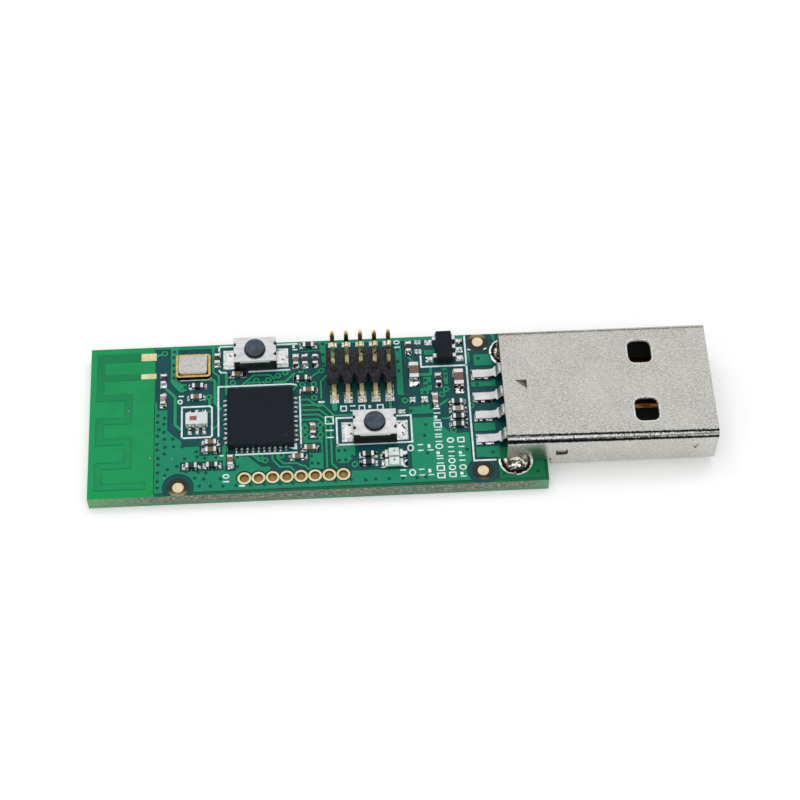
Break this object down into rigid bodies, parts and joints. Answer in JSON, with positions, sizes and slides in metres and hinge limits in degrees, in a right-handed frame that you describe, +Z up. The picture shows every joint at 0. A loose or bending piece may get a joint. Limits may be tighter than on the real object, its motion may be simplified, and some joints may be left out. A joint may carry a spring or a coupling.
{
  "type": "usb radio stick",
  "caption": "Bare circuit board with a printed antenna, a radio chip, push buttons, a pin header and a folded metal plug at one end.",
  "frame": {"origin": "middle of the board's underside", "axes": "+X along the board and out of the plug's mouth, +Y across the board towards the pin header's edge, +Z up from the board's component side"},
  "size_m": [0.0566, 0.016, 0.0076],
  "materials": {
    "laminate": "green solder mask over glass laminate",
    "gold": "gold-plated copper",
    "solder": "bright tin solder",
    "mould_black": "moulded epoxy",
    "nylon_black": "moulded black nylon",
    "ceramic_brown": "unglazed ceramic",
    "ceramic_dark": "dark coated ceramic",
    "ceramic_light": "pale ceramic",
    "tin": "tin-plated",
    "nickel": "satin nickel-plated steel",
    "stainless": "bright stainless sheet",
    "plunger": "moulded nylon",
    "lens": "cast clear resin",
    "contact": "gold over copper alloy"
  },
  "bodies": {
    "board": {"circuit_board": "laminate", "hole_rings": "gold", "alignment_discs": "gold", "printed_antenna": "laminate", "antenna_lands": "gold", "solder_lands": "solder", "radio_chip_body": "mould_black", "radio_chip_terminals": "tin", "crystal_base": "gold", "crystal_lid": "stainless", "balun_body": "ceramic_light", "balun_terminals": "tin", "brown_capacitor_bodies": "ceramic_brown", "brown_capacitor_caps": "tin", "dark_resistor_bodies": "ceramic_dark", "dark_resistor_caps": "tin", "light_coil_bodies": "ceramic_light", "light_coil_caps": "tin", "large_capacitor_bodies": "ceramic_brown", "large_capacitor_caps": "tin", "chip_part_solder": "solder", "button_1_base": "nylon_black", "button_1_cover": "stainless", "button_1_dome": "stainless", "button_1_terminals": "tin", "button_2_base": "nylon_black", "button_2_cover": "stainless", "button_2_dome": "stainless", "button_2_terminals": "tin", "header_body": "nylon_black", "header_pins": "gold", "regulator_body": "mould_black", "regulator_leads": "tin", "indicator_bases": "laminate", "indicator_lenses": "lens", "indicator_terminals": "tin", "usb_shell": "nickel", "usb_insulator": "nylon_black", "usb_contact_1": "contact", "usb_contact_2": "contact", "usb_contact_3": "contact", "usb_contact_4": "contact", "leg_solder": "solder", "contact_solder": "solder"},
    "button_1": {"button_1_plunger": "plunger"},
    "button_2": {"button_2_plunger": "plunger"}
  },
  "joints": [
    {"name": "button_1_press", "type": "slide", "parent": "board", "child": "button_1", "axis": [0, 0, -1], "range_m": [0, 0.0002], "stiffness_N_per_m": 4000, "deforming": ["button_1_dome"]},
    {"name": "button_2_press", "type": "slide", "parent": "board", "child": "button_2", "axis": [0, 0, -1], "range_m": [0, 0.0002], "stiffness_N_per_m": 4000, "deforming": ["button_2_dome"]}
  ]
}
